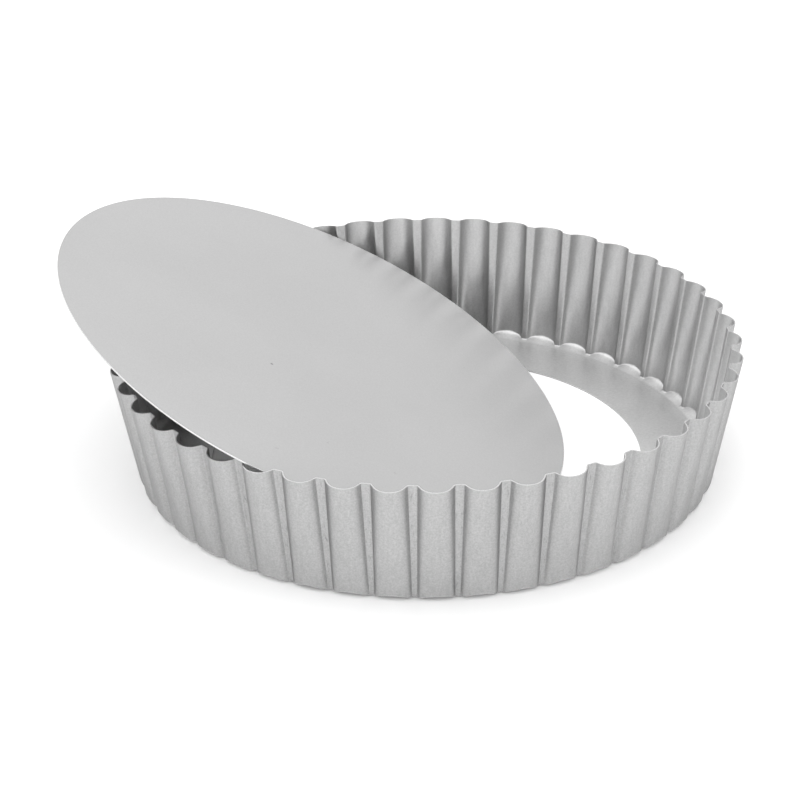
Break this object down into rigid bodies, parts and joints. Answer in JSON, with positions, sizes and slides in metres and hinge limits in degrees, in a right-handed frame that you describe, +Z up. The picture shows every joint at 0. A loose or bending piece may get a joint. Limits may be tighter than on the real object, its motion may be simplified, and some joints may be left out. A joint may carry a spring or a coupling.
{
  "type": "tart pan",
  "caption": "Deep round tart pan with a flared, fluted wall, an inner ledge round an open bottom, and a loose flat disc base leaning in the ring.",
  "frame": {"origin": "middle of the whole object's footprint, on the plane it stands on", "axes": "+Z up; the base leans down towards +X and reaches out over the rim towards -X; the ring's axis stands 8.7 mm from the origin, towards +X"},
  "size_m": [0.2608, 0.2438, 0.0885],
  "materials": {
    "ring_steel": "satin tinned steel sheet with a fine sandy grain",
    "base_steel": "smooth satin tinned steel sheet"
  },
  "bodies": {
    "ring": {"fluted_ring": "ring_steel"},
    "base": {"loose_base": "base_steel"}
  },
  "joints": [
    {"name": "base_lift", "type": "slide", "parent": "ring", "child": "base", "axis": [0, 0, 1], "range_m": [0, 0.08]}
  ]
}
